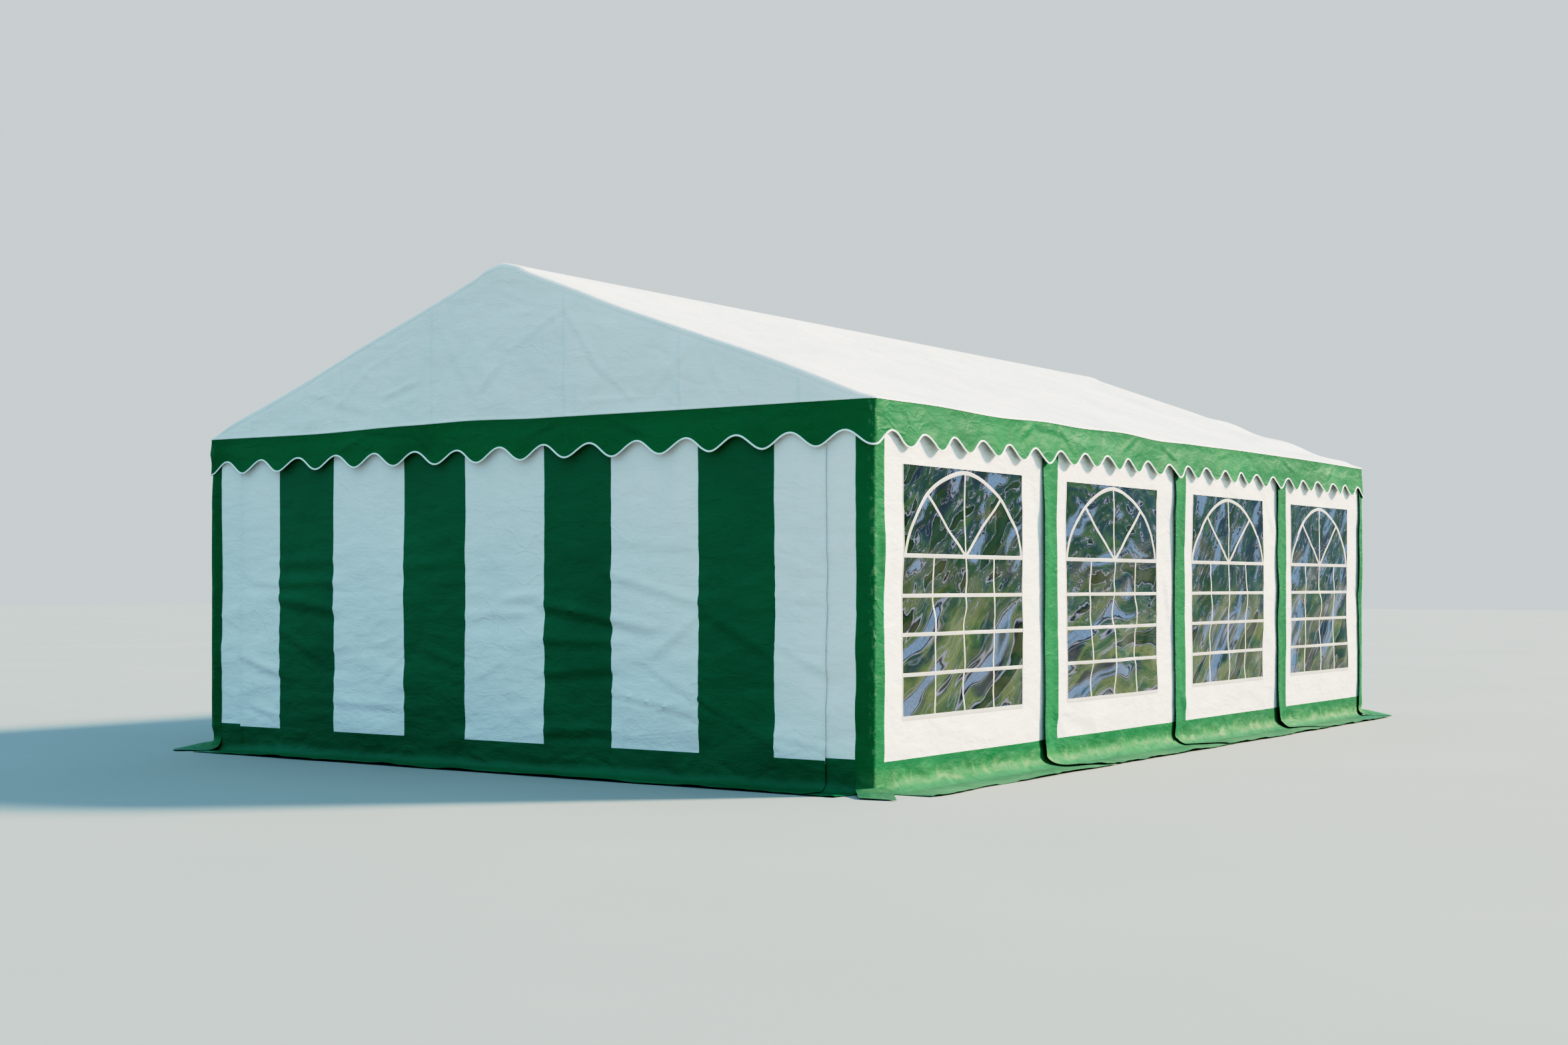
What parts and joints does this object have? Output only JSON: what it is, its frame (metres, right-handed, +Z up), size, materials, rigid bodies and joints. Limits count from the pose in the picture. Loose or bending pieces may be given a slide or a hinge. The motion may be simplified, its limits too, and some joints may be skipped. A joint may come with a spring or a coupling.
{
  "type": "marquee tent",
  "caption": "Rectangular marquee tent on a steel tube frame, with a pitched cover, scalloped valance, side walls with clear arched windows and striped end walls.",
  "frame": {"origin": "on the ground at the middle of the footprint", "axes": "+Z up, +Y along the ridge away from the front end wall, +X towards the right side wall"},
  "size_m": [5.44, 8.44, 2.97],
  "materials": {
    "white_fabric": "coated white tarpaulin, softly glossy, with light creases",
    "green_fabric": "coated green tarpaulin, softly glossy, with creases and pale scuffs",
    "clear_film": "clear flexible film with a wavy glossy surface",
    "steel_tube": "galvanised steel tube"
  },
  "bodies": {
    "root": {"roof_cover": "white_fabric", "gable_front": "white_fabric", "gable_back": "white_fabric", "valance_front": "green_fabric", "valance_back": "green_fabric", "valance_right": "green_fabric", "valance_left": "green_fabric", "window_wall_right_1": "white_fabric", "window_wall_right_2": "white_fabric", "window_wall_right_3": "white_fabric", "window_wall_right_4": "white_fabric", "window_wall_left_1": "white_fabric", "window_wall_left_2": "white_fabric", "window_wall_left_3": "white_fabric", "window_wall_left_4": "white_fabric", "window_film_right_1": "clear_film", "window_film_right_2": "clear_film", "window_film_right_3": "clear_film", "window_film_right_4": "clear_film", "window_film_left_1": "clear_film", "window_film_left_2": "clear_film", "window_film_left_3": "clear_film", "window_film_left_4": "clear_film", "door_panel_front": "white_fabric", "door_panel_back": "white_fabric", "corner_panel_front_right": "green_fabric", "corner_panel_front_left": "green_fabric", "corner_panel_back_right": "green_fabric", "corner_panel_back_left": "green_fabric", "leg_right_1": "steel_tube", "leg_right_2": "steel_tube", "leg_right_3": "steel_tube", "leg_right_4": "steel_tube", "leg_right_5": "steel_tube", "leg_left_1": "steel_tube", "leg_left_2": "steel_tube", "leg_left_3": "steel_tube", "leg_left_4": "steel_tube", "leg_left_5": "steel_tube", "rafter_right_1": "steel_tube", "rafter_right_2": "steel_tube", "rafter_right_3": "steel_tube", "rafter_right_4": "steel_tube", "rafter_right_5": "steel_tube", "rafter_left_1": "steel_tube", "rafter_left_2": "steel_tube", "rafter_left_3": "steel_tube", "rafter_left_4": "steel_tube", "rafter_left_5": "steel_tube", "eave_tube_right": "steel_tube", "eave_tube_left": "steel_tube", "ridge_tube": "steel_tube", "crossbar_front": "steel_tube", "crossbar_back": "steel_tube"}
  },
  "joints": []
}
